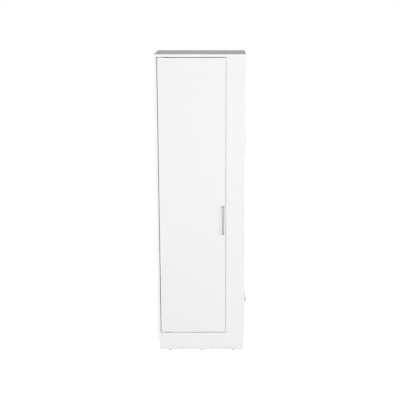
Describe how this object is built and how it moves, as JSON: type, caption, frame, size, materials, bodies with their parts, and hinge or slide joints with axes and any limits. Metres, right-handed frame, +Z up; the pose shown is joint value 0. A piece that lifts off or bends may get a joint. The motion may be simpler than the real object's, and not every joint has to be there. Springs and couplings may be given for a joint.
{
  "type": "broom cupboard",
  "caption": "Tall white broom cupboard on a plinth: a full-height door on hidden end pivots beside a fixed front panel, with a hat shelf, tool batten, bow handle and a low profile pull on the side.",
  "frame": {"origin": "middle of the whole footprint on the floor, both handles included", "axes": "+Z up, +X to the right seen from the front, +Y to the back; the door faces -Y"},
  "size_m": [0.611, 0.478, 2.05],
  "materials": {
    "white_laminate": "white melamine on particle board, fine satin texture",
    "back_board": "white lacquered thin board",
    "beech": "raw beech",
    "zinc_steel": "bright zinc plated",
    "die_cast_zinc": "die-cast, matt",
    "spring_steel": "nickel plated",
    "satin_nickel": "satin nickel",
    "ferrite": "matt black",
    "white_plastic": "moulded white",
    "grey_plastic": "moulded dark grey",
    "nylon": "natural nylon",
    "clear_rubber": "translucent soft bumper"
  },
  "bodies": {
    "case": {"left_side": "white_laminate", "right_side": "white_laminate", "top_panel": "white_laminate", "bottom_panel": "white_laminate", "back_panel": "back_board", "fixed_front": "white_laminate", "closing_stile": "white_laminate", "hat_shelf": "white_laminate", "tool_batten": "white_laminate", "stile_screws": "zinc_steel", "dowels": "beech", "cam_bolts": "zinc_steel", "cams": "die_cast_zinc", "cam_caps": "white_plastic", "plinth_front": "white_laminate", "plinth_back": "white_laminate", "plinth_left": "white_laminate", "plinth_right": "white_laminate", "corner_blocks": "beech", "block_screws": "zinc_steel", "glides": "grey_plastic", "glide_nails": "zinc_steel", "broom_clips": "spring_steel", "clip_screws": "zinc_steel", "tool_hooks": "satin_nickel", "hook_screws": "zinc_steel", "wall_brackets": "zinc_steel", "bracket_screws": "zinc_steel", "catch_case": "white_plastic", "catch_magnet": "ferrite", "catch_screws": "zinc_steel", "side_pull": "satin_nickel", "side_pull_screws": "zinc_steel", "pivot_plates": "satin_nickel", "pivot_plate_screws": "zinc_steel", "pivot_washers": "nylon"},
    "door": {"door_panel": "white_laminate", "bow_handle": "satin_nickel", "bow_screws": "zinc_steel", "door_bumpers": "clear_rubber", "strike_plate": "zinc_steel", "strike_screws": "zinc_steel", "door_sockets": "satin_nickel", "door_socket_screws": "zinc_steel"}
  },
  "joints": [
    {"name": "door_hinge", "type": "hinge", "parent": "case", "child": "door", "pos_m": [-0.2645, -0.202, 0.142], "axis": [0, 0, -1], "range_deg": [0, 120]}
  ]
}
